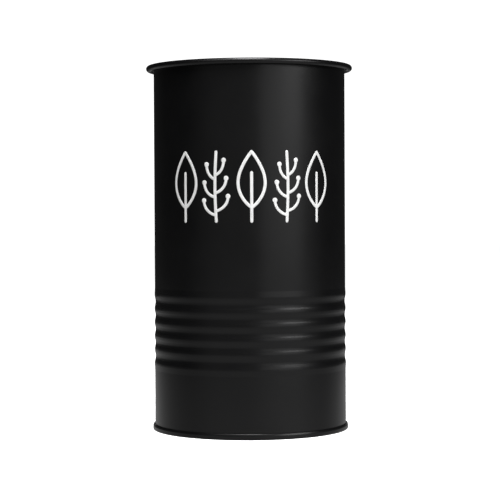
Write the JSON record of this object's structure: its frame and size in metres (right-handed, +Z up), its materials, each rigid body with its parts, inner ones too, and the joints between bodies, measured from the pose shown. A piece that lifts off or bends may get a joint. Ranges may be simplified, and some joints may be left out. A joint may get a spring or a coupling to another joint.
{
  "type": "wipes dispenser",
  "caption": "Round ribbed steel canister with a curled-rim plug lid, a nozzle under a hinged cap, and a lift-out liner that holds a roll of wipes.",
  "frame": {"origin": "centre of the double-seamed ring that the canister stands on, at counter level", "axes": "+Z up along the canister's axis, -Y to the front, +Y to the lock seam and cap hinge, +X to the right"},
  "size_m": [0.137, 0.137, 0.2414],
  "materials": {
    "coated_steel": "matte to satin black powder coat",
    "white_enamel": "white screen-printed enamel",
    "liner_plastic": "natural polypropylene, fine moulded grain",
    "nonwoven": "white spunlace nonwoven",
    "silicone": "translucent grey silicone",
    "black_plastic": "black moulded polypropylene, fine grain",
    "pin_steel": "drawn stainless wire"
  },
  "bodies": {
    "canister": {"body_shell": "coated_steel", "base_disc": "coated_steel"},
    "liner": {"liner_tub": "liner_plastic", "wipes_roll": "nonwoven"},
    "lid": {"lid_pan": "coated_steel", "lid_gasket": "silicone", "nozzle_bezel": "black_plastic", "bezel_washer": "silicone", "bezel_retainer": "black_plastic", "nozzle_membrane": "silicone", "cap_hinge_pin": "pin_steel"},
    "flip_cap": {"flip_cap": "black_plastic", "cap_seal": "silicone"}
  },
  "joints": [
    {"name": "liner_lift", "type": "slide", "parent": "canister", "child": "liner", "axis": [0, 0, 1], "range_m": [0, 0.24]},
    {"name": "lid_lift", "type": "slide", "parent": "liner", "child": "lid", "axis": [0, 0, 1], "range_m": [0, 0.06]},
    {"name": "cap_hinge", "type": "hinge", "parent": "lid", "child": "flip_cap", "pos_m": [0, 0.0265, 0.2362], "axis": [-1, 0, 0], "range_deg": [0, 110]}
  ]
}
